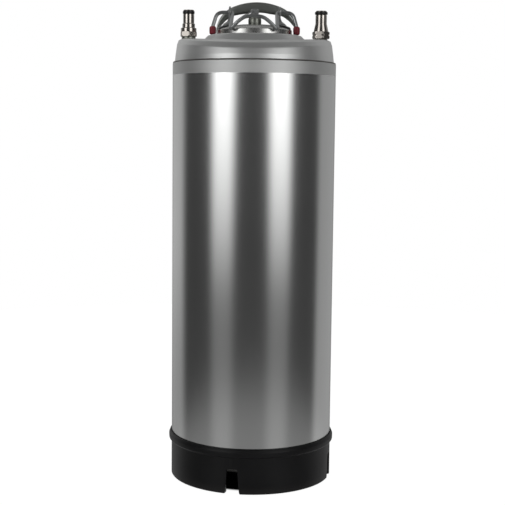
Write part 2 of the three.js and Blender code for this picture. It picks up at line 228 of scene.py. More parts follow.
HEAD_SIDE = rounded([
    (106.4, 537.5, 0), (106.4, 551.0, 1), (105.1, 554.2, 1.5), (104.4, 562, 10), (102.4, 576.6, 3),
    (100.3, 582.6, 3.2),
    (96.4, HEAD_Z, 6), (67.2, HEAD_Z, 2.2), (62.0, 589.0, 2.4), (59.2, RIM_Z, 3), (50.8, RIM_Z, 1.1),
    (50.8, 586.8, 0),
], steps=7)
HEAD_FRONT = rounded([
    (106.4, 537.5, 0), (106.4, 551.0, 1), (105.1, 554.2, 1.5), (104.4, 560.0, 9), (102.1, 567.6, 12),
    (96.6, 575.6, 9),
    (90.5, 577.7, 8), (59.2, 579.4, 3), (54.0, 588.7, 2.4), (51.2, RIM_Z, 3), (42.3, RIM_Z, 1.1),
    (42.3, 586.8, 0),
], steps=7)
HEAD_SIDE_IN = rounded([
    (50.8, 586.8, 0), (58.8, 586.8, 2), (65.2, 581.9, 3), (95.8, 581.9, 4), (99.3, 580.2, 3),
    (102.6, 560, 6),
    (103.4, 552.6, 1), (104.6, 549.6, 1), (104.6, 537.5, 0),
], steps=4)[1:]
HEAD_FRONT_IN = rounded([
    (42.3, 586.8, 0), (50.6, 586.4, 2), (57.2, 577.6, 3), (90.0, 575.8, 4), (97.4, 572.2, 6),
    (102.4, 560, 6),
    (103.4, 552.6, 1), (104.6, 549.6, 1), (104.6, 537.5, 0),
], steps=4)[1:]


def head_height(x, y):
    """Height of the head's outside over (x, y): the row whose oval passes through the point is found by halving."""
    x, y = np.asarray(x, float), np.asarray(y, float)
    side, front = HEAD_SIDE[SHOULDER_ROW:], HEAD_FRONT[SHOULDER_ROW:]
    row = np.arange(len(side))
    low, high = np.zeros(x.shape), np.full(x.shape, len(side) - 1.0)
    for _ in range(40):
        mid = (low + high) / 2
        inside = (x / np.interp(mid, row, side[:, 0])) ** 2 + (y / np.interp(mid, row, front[:, 0])) ** 2 < 1
        low, high = np.where(inside, mid, low), np.where(inside, high, mid)
    ahead = (y / np.interp(low, row, front[:, 0])) ** 2
    return np.interp(low, row, side[:, 1]) * (1 - ahead) + np.interp(low, row, front[:, 1]) * ahead


# ---------------------------------------------------------------- shader maths

class Wire:
    """One socket, with arithmetic: an expression on wires adds the Math nodes that work it out."""

    def __init__(self, tree, socket):
        self.tree, self.socket = tree, socket

    def math(self, operation, *others):
        node = self.tree.nodes.new("ShaderNodeMath")
        node.operation = operation
        for slot, value in zip(node.inputs, others):
            if isinstance(value, Wire):
                self.tree.links.new(value.socket, slot)
            else:
                slot.default_value = value
        return Wire(self.tree, node.outputs[0])

    def __add__(self, other):
        return self.math("ADD", self, other)

    __radd__ = __add__

    def __mul__(self, other):
        return self.math("MULTIPLY", self, other)

    __rmul__ = __mul__

    def __sub__(self, other):
        return self.math("SUBTRACT", self, other)

    def __rsub__(self, other):
        return self.math("SUBTRACT", other, self)

    def max(self, other):
        return self.math("MAXIMUM", self, other)

    def abs(self):
        return self.math("ABSOLUTE", self)


class Nodes:
    """A node tree, with helpers that add nodes, masks and mixes to it."""

    def __init__(self, tree):
        self.tree = tree

    def set(self, socket, value):
        if isinstance(value, Wire):
            self.tree.links.new(value.socket, socket)
        elif isinstance(value, tuple) and len(value) == 3 and socket.type == "RGBA":
            socket.default_value = (*value, 1.0)
        else:
            socket.default_value = value

    def node(self, kind, settings=None, **values):
        """Adds any node: its settings first, then its sockets' values or links; returns its outputs by name."""
        made = self.tree.nodes.new(kind)
        for key, value in (settings or {}).items():
            setattr(made, key, value)
        for key, value in values.items():
            index = int(key[1:]) if key[0] == "i" and key[1:].isdigit() else key.replace("_", " ")
            self.set(made.inputs[index], value)
        return {o.name: Wire(self.tree, o) for o in made.outputs if o.enabled}

    def band(self, value, low, high, soft):
        """1 between low and high, fading to 0 over soft at each end."""
        rise = self.node("ShaderNodeMapRange", {"interpolation_type": "SMOOTHSTEP"}, Value=value,
                         From_Min=low - soft, From_Max=low + soft, To_Min=0.0, To_Max=1.0)["Result"]
        fall = self.node("ShaderNodeMapRange", {"interpolation_type": "SMOOTHSTEP"}, Value=value,
                         From_Min=high - soft, From_Max=high + soft, To_Min=1.0, To_Max=0.0)["Result"]
        return rise * fall

    def spread(self, value, low, high, to_low, to_high):
        """to_low below low, to_high above high, and a smooth step between."""
        return self.node("ShaderNodeMapRange", {"interpolation_type": "SMOOTHSTEP"}, Value=value, From_Min=low,
                         From_Max=high, To_Min=to_low, To_Max=to_high)["Result"]

    def mix(self, amount, first, second):
        """The first colour where amount is 0, the second where it is 1."""
        made = self.node("ShaderNodeMix", {"data_type": "RGBA"}, i0=amount, i6=first, i7=second)
        return made["Result"]


class Finish(Nodes):
    """One material, with the place of each point on it, noise over it and its bump."""

    def __init__(self, name, **shader):
        self.material = bpy.data.materials.new(name)
        self.material.use_nodes = True
        super().__init__(self.material.node_tree)
        self.shader = self.tree.nodes["Principled BSDF"]
        for socket, value in shader.items():
            self.set(self.shader.inputs[socket.replace("_", " ")], value)
        self.place = self.node("ShaderNodeTexCoord")["Object"]
        self.z = self.node("ShaderNodeSeparateXYZ", {}, Vector=self.place)["Z"]

    def noise(self, scale, detail=3.0, stretch=(1.0, 1.0, 1.0), rough=0.5):
        moved = self.node("ShaderNodeMapping", {}, Vector=self.place, Scale=stretch)["Vector"]
        made = self.node("ShaderNodeTexNoise", {"noise_dimensions": "3D"}, Vector=moved, Scale=scale,
                         Detail=detail, Roughness=rough)
        return made["Fac"] if "Fac" in made else made["Factor"]

    def bump(self, height, strength, distance):
        normal = self.node("ShaderNodeBump", {}, Strength=strength, Distance=distance, Height=height)["Normal"]
        self.set(self.shader.inputs["Normal"], normal)


def steel(name, tone, rough, grain=(40.0, 40.0, 1.5), grain_scale=60.0, grain_depth=0.02, cloud=0.06, tint=None):
    """Stainless steel: a base tone with slow clouds, and fine polishing lines in roughness and bump."""
    made = Finish(name, Metallic=1.0)
    clouds = made.noise(9.0, 3.0)
    lines = made.noise(grain_scale, 4.0, grain, 0.65)
    dark = tuple(c * (1 - cloud) for c in tone)
    light = tuple(min(1.0, c * (1 + cloud)) for c in (tint or tone))
    made.set(made.shader.inputs["Base Color"], made.mix(clouds, dark, light))
    made.set(made.shader.inputs["Roughness"], rough + (lines - 0.5) * (rough * 0.5) + (clouds - 0.5) * (rough * 0.25))
    made.bump(lines, 0.25, grain_depth * MM)
    return made


def rubber(name, tone, rough, grain=900.0, depth=0.03, dusty=0.0, ior=1.5):
    """Moulded rubber: fine grain in bump, slow patches in tone and roughness, and dust low down where asked."""
    made = Finish(name, Metallic=0.0, IOR=ior)
    fine = made.noise(grain, 2.0)
    patch = made.noise(28.0, 4.0, (1, 1, 0.5))
    light = tuple(c * 1.7 + 0.001 for c in tone)
    colour = made.mix(made.spread(patch, 0.35, 0.7, 0.0, 1.0), tone, light)
    if dusty:
        low = made.spread(made.z + (patch - 0.5) * 0.012, 0.0, 0.012, dusty, 0.0)
        colour = made.mix(low, colour, (0.09, 0.085, 0.08))
    made.set(made.shader.inputs["Base Color"], colour)
    made.set(made.shader.inputs["Roughness"], rough + (patch - 0.5) * 0.2 + (fine - 0.5) * 0.08)
    made.bump(fine, 0.3, depth * MM)
    return made


def shell_finish(settings):
    """Barrel steel: satin with up-and-down polishing lines, and a duller blasted band under the top seam."""
    tone = tuple(settings.steel_tone)
    made = Finish("shell_steel", Metallic=1.0, Anisotropic=0.35)
    clouds = made.noise(7.0, 3.0, (1, 1, 0.6))
    lines = made.noise(60.0, 4.0, (30.0, 30.0, 0.8), 0.7)
    band = made.band(made.z, 0.5368, 0.56, 0.0004)
    body = made.mix(clouds, tuple(c * 0.95 for c in tone), tuple(min(1, c * 1.04) for c in tone))
    made.set(made.shader.inputs["Base Color"], made.mix(band, body, tuple(c * 1.02 for c in tone)))
    plain = settings.shell_roughness + (lines - 0.5) * 0.10 + (clouds - 0.5) * 0.05
    made.set(made.shader.inputs["Roughness"], plain + band * (settings.band_roughness - settings.shell_roughness))
    made.bump(lines, 0.12, 0.02 * MM)
    return made


FINISHES = {}


def finish(name):
    """The material made under this name."""
    return FINISHES[name].material


def make_finishes(settings):
    tone = tuple(settings.steel_tone)
    FINISHES["shell"] = shell_finish(settings)
    FINISHES["head"] = steel("head_steel", tuple(c * 1.20 for c in tone), 0.445, (2.0, 2.0, 30.0), 80.0, 0.03)
    # Weld beads: a dark tone, partly the heat tint of the welds and partly painted shade of the seam's crevice.
    FINISHES["weld"] = steel("weld_steel", (0.20, 0.19, 0.18), 0.5, (1, 1, 1), 900.0, 0.05, 0.3)
    FINISHES["strap"] = steel("strap_steel", (0.36, 0.375, 0.355), 0.36, (1.0, 30.0, 1.0), 60.0, 0.02)
    FINISHES["pressed"] = steel("pressed_steel", (0.60, 0.60, 0.585), 0.27, (6.0, 20.0, 6.0), 70.0, 0.015)
    FINISHES["ear"] = steel("ear_steel", (0.44, 0.45, 0.445), 0.40, (6.0, 20.0, 6.0), 70.0, 0.02)
    FINISHES["valve"] = steel("valve_steel", (0.27, 0.28, 0.25), 0.40, (3.0, 3.0, 80.0), 60.0, 0.02)
    FINISHES["wire"] = steel("wire_steel", (0.36, 0.37, 0.37), 0.33, (1.0, 1.0, 1.0), 300.0, 0.01)
    FINISHES["post"] = steel("post_steel", (0.41, 0.39, 0.365), 0.18, (3.0, 3.0, 120.0), 60.0, 0.02,
                             tint=(0.47, 0.435, 0.395))
    FINISHES["bright"] = steel("bright_steel", (0.60, 0.60, 0.59), 0.22, (3.0, 3.0, 120.0), 60.0, 0.01)
    FINISHES["hidden"] = steel("inner_steel", (0.55, 0.55, 0.54), 0.35, (1, 1, 1), 300.0, 0.02)
    # Bottom head: steel painted near-black, a painted shade for the inside of the rubber foot.
    FINISHES["under"] = steel("painted_shade_underside_steel", (0.10, 0.10, 0.095), 0.55, (1, 1, 1), 300.0, 0.02)
    FINISHES["boot"] = rubber("boot_rubber", (0.0030, 0.0030, 0.0034), 0.46, 700.0, 0.05, dusty=0.12, ior=1.34)
    FINISHES["ring"] = rubber("seal_rubber", (0.006, 0.006, 0.006), 0.30, 1500.0, 0.01)
    FINISHES["red"] = rubber("bail_foot_rubber", (0.19, 0.010, 0.020), 0.50, 1200.0, 0.02)


# ---------------------------------------------------------------- settings

class KegSettings(bpy.types.PropertyGroup):
    steel_tone: bpy.props.FloatVectorProperty(
        name="Steel tone", description="Reflectance of the stainless steel", subtype="COLOR", size=3,
        default=(0.60, 0.605, 0.60), min=0, max=1)
    shell_roughness: bpy.props.FloatProperty(
        name="Shell roughness", description="How blurred reflections are on the barrel", default=0.205, min=0, max=1)
    band_roughness: bpy.props.FloatProperty(
        name="Band roughness", description="Roughness of the dull band under the top seam", default=0.5, min=0, max=1)
    strap_gauge: bpy.props.FloatProperty(
        name="Strap gauge", description="Thickness of the strap handle's sheet", default=1.8 * MM, unit="LENGTH")
    wire_radius: bpy.props.FloatProperty(
        name="Wire radius", description="Radius of the bail's wire", default=2.4 * MM, unit="LENGTH")


class StageSettings(bpy.types.PropertyGroup):
    floor_tone: bpy.props.FloatVectorProperty(
        name="Floor tone", description="Colour of the studio floor", subtype="COLOR", size=3,
        default=(0.42, 0.42, 0.42), min=0, max=1)
    box_power: bpy.props.FloatProperty(
        name="Softbox power", description="Brightness of the two tall softboxes", default=1.0, min=0)
    lens: bpy.props.FloatProperty(
        name="Lens", description="Focal length of the camera", default=81.85, unit="CAMERA")


# ---------------------------------------------------------------- pieces

class KEG_OT_shell(bpy.types.Operator):
    """Barrel, heads and their weld beads"""
    bl_idname = "keg.shell"
    bl_label = "Shell and heads"

    def execute(self, context):
        barrel = rounded([
            (108, 52, 0.3), (108, 552.6, 0.45), (107.1, 552.6, 0.3), (107.1, 52, 0.3),
        ], steps=4, closed=True)
        piece("shell", turned(barrel), "keg", finish("shell"), ["barrel"])
        head = oval(np.vstack([HEAD_SIDE, HEAD_SIDE_IN]), np.vstack([HEAD_FRONT, HEAD_FRONT_IN]))
        piece("head", head, "keg", finish("head"), ["top_head"])
        dish = rounded([
            (0, 14.0, 0), (40, 15.4, 60), (74, 19.0, 40), (92, 24.6, 14), (101.5, 34, 12),
            (104.6, 49.6, 4), (106.4, 54.4, 2),
            (106.4, 69.5, 0.4), (104.6, 69.5, 0.4), (104.6, 55.0, 2), (102.7, 49.6, 4), (99.8, 35, 12),
            (91.2, 26.4, 14), (73.6, 21.0, 40), (40, 17.4, 60), (0, 16.0, 0),
        ], steps=5)
        # The bottom head takes the steel painted dark as shade.
        piece("lower_head", turned(dish, 192), "keg", finish("under"), ["bottom_head"],
              wrap=(False, True))
        for name, node, radius, z in (("top_weld_bead", "top_weld", 106.85, 553.6),
                                      ("lower_weld_bead", "bottom_weld", 106.75, 51.0)):
            turn = 2 * np.pi * np.arange(1536) / 1536
            ripple = 1 + 0.10 * np.abs(np.sin(turn * 280)) + 0.05 * np.sin(turn * 17)
            line = np.stack([radius * np.cos(turn), radius * np.sin(turn), z + 0 * turn], -1)
            section = circle(0.72, 8)[None] * ripple[:, None, None]
            piece(name, sweep(line, section, closed=True), "keg", finish("weld"), [node], sharp=80)
        return {"FINISHED"}


class KEG_OT_boot(bpy.types.Operator):
    """Rubber foot with its lip, four drain notches and mould lines"""
    bl_idname = "keg.boot"
    bl_label = "Rubber foot"

    def execute(self, context):
        half = np.array([10.6, 10.0, 9.6, 9.2, 8.2, 7.2, 7.0, 6.6, 6.0, 4.0, 2.0, 0.0])
        lift = np.array([0.0, 0.3, 1.0, 3.0, 14.0, 30.5, 31.6, 32.3, 32.5, 32.5, 32.5, 32.5])
        first = math.radians(NOTCH_TURN - 90)
        fine = np.arcsin(np.concatenate([-half, half[:-1]]) / BARREL_R)
        even = first + np.linspace(0, 2 * np.pi, EVEN_TURNS, endpoint=False)
        turns = np.concatenate([even] + [first + k * np.pi / 2 + fine for k in range(NOTCHES)])
        near = (turns - first + np.pi / 4) % (np.pi / 2) - np.pi / 4
        spare = (np.arange(len(turns)) < EVEN_TURNS) & (np.abs(near) < math.asin(10.9 / BARREL_R))
        turns = np.sort(turns[~spare] % (2 * np.pi))
        off = (turns - first + np.pi / 4) % (np.pi / 2) - np.pi / 4
        flat = np.abs(BARREL_R * np.sin(off))
        floor = np.interp(-flat, -half, lift)
        profile = rounded([
            (100, 0, 1.0), (107.2, 0, 0.4), (108.2, 1.2, 0.8), (108.2, 24, 0), (108.2, 47.6, 1.2),
            (111.4, 49.8, 1.6),
            (111.6, 55.6, 3.0), (109.8, 59.7, 1.0), (108.3, 59.7, 0.4), (108.3, 50, 0.3), (105, 50, 0.5),
            (105, 34, 0), (105, 6.2, 2.5),
            (100, 4.4, 1.0),
        ], steps=5, closed=True)
        r, z = profile[:, 0, None], profile[:, 1, None]
        height = np.where(z < 48, floor + z * (48 - floor) / 48, z)
        radius = np.where((z < 8) & (r < 105.5), r + (105.5 - r) * np.clip(floor / 8, 0, 1), r)
        mould = 0.35 * (flat < 0.6) * ((height > 33) & (height < 48.5) & (r > 107))
        radius = radius + mould
        grid = np.stack([radius * np.cos(turns), radius * np.sin(turns), height], -1)
        piece("foot_boot", grid, "keg", finish("boot"), ["base_boot"], sharp=30)
        return {"FINISHED"}


class KEG_OT_strap(bpy.types.Operator):
    """Strap handle: a channel bent into a hoop, with its weld beads"""
    bl_idname = "keg.strap"
    bl_label = "Strap handle"

    def execute(self, context):
        gauge = context.scene.keg_settings.strap_gauge / MM
        turn = math.radians(STRAP_TURN)
        bend_r = (STRAP_LEG - CROWN_R * math.sin(turn)) / (1 - math.sin(turn))
        bend_x, bend_z = (CROWN_R - bend_r) * math.sin(turn), CROWN_Z + (CROWN_R - bend_r) * math.cos(turn)
        leg = np.stack([np.full(6, STRAP_LEG), np.linspace(581.0, bend_z - 0.5, 6)], -1)
        bend = np.linspace(0, math.pi / 2 - turn, 30)
        shoulder = np.stack([bend_x + bend_r * np.cos(bend), bend_z + bend_r * np.sin(bend)], -1)
        crown = np.linspace(math.pi / 2 - turn, math.pi / 2, 20)[1:]
        top = np.stack([CROWN_R * np.cos(crown), CROWN_Z + CROWN_R * np.sin(crown)], -1)
        right = np.vstack([leg, shoulder, top])
        line = np.vstack([right, (right[:-1] * [-1, 1])[::-1]])
        path = np.stack([line[:, 0], np.full(len(line), 27.0), line[:, 1]], -1)
        tangent = np.gradient(path, axis=0)
        tangent /= np.linalg.norm(tangent, axis=1, keepdims=True)
        out = np.stack([tangent[:, 2], 0 * tangent[:, 0], -tangent[:, 0]], -1)
        depth = np.interp(np.abs(line[:, 0]), [0, 20, 31, 38, 45, 50.5, 53, STRAP_LEG],
                          [11.4, 11.2, 9.6, 8.0, 7.0, 5.0, 2.8, gauge + 0.25])
        sections = []
        for d in depth:
            sections.append(rounded([
                (-14, -d, 0.6), (-14, 0, 3.0), (14, 0, 3.0), (14, -d, 0.6), (14 - gauge, -d, 0.6),
                (14 - gauge, -gauge, min(1.8, 0.45 * (d - gauge) + 0.02)),
                (gauge - 14, -gauge, min(1.8, 0.45 * (d - gauge) + 0.02)), (gauge - 14, -d, 0.6),
            ], steps=5, closed=True))
        section = np.array(sections)
        grid = path[:, None] + section[..., 1:2] * out[:, None]
        grid[..., 1] += section[..., 0]
        grid[..., 0] += STRAP_X
        piece("strap_handle_hoop", grid, "keg", finish("strap"), ["strap_handle"],
              wrap=(False, True), caps=True)
        for name, sign in (("left_strap_weld", -1), ("right_strap_weld", 1)):
            high, low = STRAP_LEG + 0.7, STRAP_LEG - 2.5
            loop = rounded([(high, 12.4, 1.4), (high, 41.6, 1.4), (low, 41.6, 1.4), (low, 12.4, 1.4)], 5, closed=True)
            pieces = []
            for a, b in zip(loop, np.roll(loop, -1, 0)):
                count = max(1, int(np.linalg.norm(b - a) / 0.45))
                pieces.append(a + (b - a) * np.linspace(0, 1, count, endpoint=False)[:, None])
            loop = np.vstack(pieces)
            x, y = sign * loop[:, 0] + STRAP_X, loop[:, 1]
            bead = np.stack([x, y, head_height(x, y) + 0.2], -1)
            run = np.arange(len(bead))
            section = circle(0.85, 8)[None] * (1 + 0.12 * np.abs(np.sin(run * 1.1)))[:, None, None]
            piece(name, sweep(bead, section, closed=True), "keg", finish("head"), sharp=80)
        return {"FINISHED"}


class KEG_OT_posts(bpy.types.Operator):
    """Gas and liquid posts with their bosses, rings and poppets"""
    bl_idname = "keg.posts"
    bl_label = "Posts"

    def execute(self, context):
        self.post("liquid", -POST_X, 9.1, 10.0, [
            (7.6, 588.1, 0.1, 0), (11.0, 588.1, 0.1, 1), (12.2, 589.3, 0.3, 1), (12.2, 593.0, 0.3, 1),
            (11.0, 594.2, 0.1, 1),
            (10.35, 594.2, 0.2, 0), (10.35, 599.0, 0.5, 0), (8.35, 599.6, 0.3, 0), (8.35, 604.6, 0.5, 0),
            (7.35, 605.3, 0.4, 0),
            (7.35, 617.4, 0.4, 0), (6.3, 617.6, 0.1, 0), (6.3, 621.5, 0.1, 0), (7.1, 621.8, 0.3, 0),
            (7.0, 622.8, 0.5, 0)], 7.8)
        self.post("gas", POST_X, 8.35, 16.0, [
            (7.6, 586.3, 0.1, 0), (11.0, 586.3, 0.1, 1), (12.2, 587.5, 0.3, 1), (12.2, 589.6, 0.2, 1),
            (10.7, 591.0, 0.3, 1),
            (12.2, 592.4, 0.2, 1), (12.2, 594.2, 0.3, 1), (11.0, 595.4, 0.1, 1), (9.6, 595.4, 0.2, 0),
            (9.6, 596.6, 0.6, 0),
            (7.5, 606.0, 3.0, 0), (7.5, 617.0, 0.4, 0), (6.3, 617.2, 0.1, 0), (6.3, 621.3, 0.1, 0),
            (7.2, 621.6, 0.3, 0),
            (7.1, 622.6, 0.5, 0)], 8.4)
        return {"FINISHED"}

    def post(self, side, x, boss, turn, outline, ring):
        """A turned outline whose marked rows are cut by a hexagon: there the radius is the smaller of the row's own
        and half the width across flats over the cosine of the angle from the nearest flat."""
        low, top = outline[0][1], outline[-1][1]
        sides = 120
        angle = math.radians(turn) + 2 * np.pi * np.arange(sides) / sides
        inside = [(4.4, top, 0.4, 0), (3.5, top - 1.2, 0.4, 0), (3.5, 619.6, 0.2, 0), (5.2, 618.6, 0.2, 0),
                  (5.2, 600.4, 0.4, 0), (7.4, 598.6, 0.3, 0), (7.4, low, 0.2, 0)]
        corners = outline + inside
        profile = rounded([(r, z, h, f) for r, z, f, h in corners], steps=3, closed=True)
        r, z, hexed = profile[:, 0, None], profile[:, 1, None], profile[:, 2, None]
        wedge = (angle - math.radians(turn) + math.pi / 6) % (math.pi / 3) - math.pi / 6
        across = np.minimum(10.35 / np.cos(wedge), 11.75)
        radius = np.where(hexed > 0.5, np.minimum(r, across), r)
        grid = np.stack([x + radius * np.cos(angle), radius * np.sin(angle), z + 0 * angle], -1)
        piece(f"{side}_post_body", grid, "keg", finish("post"), [f"{side}_post"], sharp=28)
        seat = rounded([
            (5.2, 577, 0.2), (boss, 577, 0.3), (boss, 583.2, 0), (boss + 1.5, 583.7, 0.4),
            (boss + 0.2, 585.0, 1.0),
            (boss, low - 0.3, 0.3), (7.0, low - 0.3, 0.1), (7.0, 595, 0.3),
            (5.2, 595, 0.3)], 4, closed=True)
        seat = turned(seat, 96)
        seat[..., 0] += x
        piece(f"{side}_boss_fitting", seat, "keg", finish("valve"), [f"{side}_boss"])
        band = rounded([
            (6.4, 617.75, 0.2), (ring, 617.75, 1.4), (ring, 621.35, 1.4),
            (6.4, 621.35, 0.2)], 6, closed=True)
        band = turned(band, 96)
        band[..., 0] += x
        piece(f"{side}_post_oring", band, "keg", finish("ring"), [f"{side}_post_ring"])
        pin = rounded([
            (0, 614.8, 0), (2.6, 614.8, 0.3), (2.6, 616.2, 0.1), (4.8, 616.2, 0.2), (4.8, 617.4, 0.2),
            (3.2, 618.3, 0.2),
            (2.3, 618.6, 0.2), (2.0, 621.6, 0.5), (0, 621.8, 0)], 4)
        pin = turned(pin, 64)
        pin[..., 0] += x
        piece(f"{side}_poppet_pin", pin, f"{side}_valve", finish("bright"), [f"{side}_poppet"],
              wrap=(False, True))


class KEG_OT_lid(bpy.types.Operator):
    """Lid plate, its brackets and the relief valve"""
    bl_idname = "keg.lid"
    bl_label = "Lid and relief valve"

    def execute(self, context):
        plate = rounded([
            (58.1, 578, 0.5), (58.5, 580, 0.7), (50.0, 580, 1.2), (49.3, 582, 1.2), (49.3, 597.0, 2.2),
            (45, 598.9, 6),
            (38, 601.2, 12), (24.5, 603.2, 20), (6.6, 604, 0.2), (6.6, 602.2, 0.2), (24, 601.4, 20),
            (37.4, 599.4, 10),
            (45.4, 596.6, 3), (47.5, 594.8, 1), (47.5, 580.2, 2), (48.6, 578, 0.8)], 5, closed=True)
        piece("lid_dish", oval(plate, narrowed(plate), 224), "lid", finish("pressed"), ["lid_plate"])
        for name, node, sign in (("left_ear", "left_bracket", -1), ("right_ear", "right_bracket", 1)):
            self.ear(name, node, sign)
        self.relief()
        return {"FINISHED"}

    def ear(self, name, node, sign):
        """A stack of level slices, each a rounded box from its back to its front, as wide to each side as half says.
        The sheet stands up from a wedge-shaped foot and ends in half a circle round the pivot."""
        face = rounded([(47.6, 598.0, 0), (47.5, 599.6, 1.2), (42.8, 601.4, 1.5), (39.8, 604.6, 3), (36.0, 607.6, 3),
                        (34.2, 612, 5), (34.1, 616, 0), (34.1, 627.8, 0)], 8)
        z = np.concatenate([np.linspace(598.1, 616, 46), PIVOT_Z + 7.8 * np.sin(np.linspace(-0.5, 1.49, 30))])
        front = np.interp(z, face[:, 1], face[:, 0])
        back = np.interp(z, [598.0, 599.1, 601.5, 602.6], [47.45, 45.2, 38.2, 31.9])
        half = np.interp(z, [598, 604.5, 607.5, 616.4], [12.9, 12.9, 9.6, 7.0])
        half = np.where(z > 616.2, np.sqrt(np.clip(7.8 ** 2 - (z - PIVOT_Z) ** 2, 0.3, None)), half)
        section = np.array([rounded([(b, -h, 0.5), (f, -h, 0.5), (f, h, 0.5), (b, h, 0.5)], 4, closed=True)
                            for f, b, h in zip(front, back, half)])
        grid = np.stack([sign * section[..., 0], section[..., 1], np.broadcast_to(z[:, None], section.shape[:2])], -1)
        piece(name, grid, "lid", finish("ear"), [node], wrap=(False, True), caps=True)
        collar = rounded([(2.5, -1.7, 0.4), (4.2, -1.7, 0.5), (4.2, 1.7, 0.5), (2.5, 1.7, 0.4)], 4, closed=True)
        round_x = turned(collar, 64)
        grid = np.stack([round_x[..., 2] + sign * EYELET_X, round_x[..., 1], round_x[..., 0] + PIVOT_Z], -1)
        piece(name + "_eyelet", grid, "lid", finish("ear"))

    def relief(self):
        """Turned body, cap and stem, the stem's head clipped flat to each side, and a ring wound round twice."""
        body = rounded([
            (2.4, 590, 0.2), (6.2, 590, 0.5), (6.2, 604.3, 0.1), (8.4, 604.3, 0.5), (8.6, 606.5, 0.4),
            (8.6, 611, 0.5),
            (8.0, 611.8, 0.4), (8.0, 616.6, 0.8), (7.0, 617.0, 0.3), (5.4, 617.0, 0.2), (5.4, 599.6, 0.3),
            (2.4, 598.2, 0.2)],
            4, closed=True)
        piece("relief_housing", turned(body, 96), "lid", finish("valve"), ["relief_body"])
        cap = rounded([(1.9, 614.2, 0.2), (5.1, 614.2, 0.2), (5.1, 617.4, 0.5), (1.9, 617.6, 0.3)], 4, closed=True)
        piece("relief_cover", turned(cap, 64), "lid", finish("ear"), ["relief_cap"])
        stem = rounded([
            (0, 598.6, 0), (1.9, 598.6, 0.2), (1.9, 601.7, 0.1), (4.6, 601.7, 0.2), (4.6, 603.2, 0.2),
            (1.5, 603.4, 0.1),
            (1.5, 618.0, 0.2), (4.8, 618.2, 0.5), (5.4, 619.4, 0.6), (5.4, 622.8, 1.2), (4.2, 624.6, 1.0),
            (0, 624.7, 0)], 5)
        grid = turned(stem, 96)
        flat = np.clip((grid[..., 2] - 618.0) / 0.3, 0, 1)
        limit = 3.0 * flat + 9.0 * (1 - flat)
        grid[..., 1] = np.clip(grid[..., 1], -limit, limit)
        piece("relief_pull_stem", grid, "relief_plunger", finish("ear"), ["relief_stem"],
              wrap=(False, True))
        turn = 2 * np.pi * np.linspace(0, 2, 145)
        lean = math.radians(22)
        lift = np.linspace(-0.5, 0.5, 145)
        flat_x, flat_y = 9.0 * np.cos(turn) - 9.0, 9.0 * np.sin(turn)
        coil = np.stack([flat_x * math.cos(lean) - lift * math.sin(lean), flat_y,
                         621.2 + flat_x * math.sin(lean) + lift * math.cos(lean)], -1)
        piece("relief_split_ring", sweep(coil, circle(0.5, 12)), "ring", finish("wire"),
              ["pull_ring"], wrap=(False, True), caps=True)


class KEG_OT_bail(bpy.types.Operator):
    """Bail wire and its rubber feet"""
    bl_idname = "keg.bail"
    bl_label = "Bail"

    def execute(self, context):
        radius = context.scene.keg_settings.wire_radius / MM
        lean = math.radians(FOOT_LEAN)

        def leg(x, drop):
            return (x, -drop * math.sin(lean), PIVOT_Z - drop * math.cos(lean))

        half = [leg(FOOT_X, 27.5), leg(FOOT_X, 23), leg(55.1, 19), leg(54.0, 14.5), leg(52.7, 10), leg(51.5, 6),
                leg(49.6, 2.9), leg(46.4, 0.8), (42.5, 0, PIVOT_Z), (38, 0, PIVOT_Z), (34.4, 0, PIVOT_Z),
                (31.8, 0, PIVOT_Z), (30.2, -0.9, 619.6), (29.5, -2.6, 618.6), (29.3, -5, 617.3),
                (29.6, -16, 610.6), (30, -28, 602.9), (30.3, -36, 598.0), (29.6, -39.6, 596.0),
                (27.6, -41.4, 597.4),
                (24.1, -42, 601.0), (18.9, -42.5, 605.7), (12.4, -42.9, 609.9), (6, -43.1, 611.4),
                (0, -43.2, 611.8)]
        other = [(-x, y, z) for x, y, z in half[:-1]][::-1]
        line = through(half + other, 6)
        piece("bail_wire_bent", sweep(line, circle(radius, 20), up=(0, 1, 0)), "bail",
              finish("wire"), ["bail_wire"], wrap=(False, True), caps=True)
        cup = rounded([
            (0, -29.6, 0), (4.0, -29.6, 1.6), (4.5, -27.0, 0.5), (4.2, -26.4, 0.4), (4.5, -25.8, 0.4),
            (4.5, -21.2, 0.5),
            (3.7, -19.4, 1.0), (2.45, -19.4, 0.3), (2.45, -27.9, 0.3), (0, -27.9, 0)], 5)
        for name, node, sign in (("left_foot_cap", "left_bail_foot", -1), ("right_foot_cap", "right_bail_foot", 1)):
            grid = turned(cup, 64)
            y, z = grid[..., 1].copy(), grid[..., 2].copy()
            grid[..., 0] += sign * FOOT_X
            grid[..., 1] = y * math.cos(lean) + z * math.sin(lean)
            grid[..., 2] = PIVOT_Z - y * math.sin(lean) + z * math.cos(lean)
            piece(name, grid, "bail", finish("red"), [node], wrap=(False, True))
        return {"FINISHED"}


class KEG_OT_kept(bpy.types.Operator):
    """Finishes for the CAD nodes that show as they are"""
    bl_idname = "keg.kept"
    bl_label = "Carried-over nodes"

    def execute(self, context):
        for name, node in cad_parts.items():
            if node.hide_render:
                continue
            look = "ring" if "seal" in name or name.endswith("ring") else "hidden"
            node.data.materials.clear()
            node.data.materials.append(finish(look))
        return {"FINISHED"}


# ---------------------------------------------------------------- stage

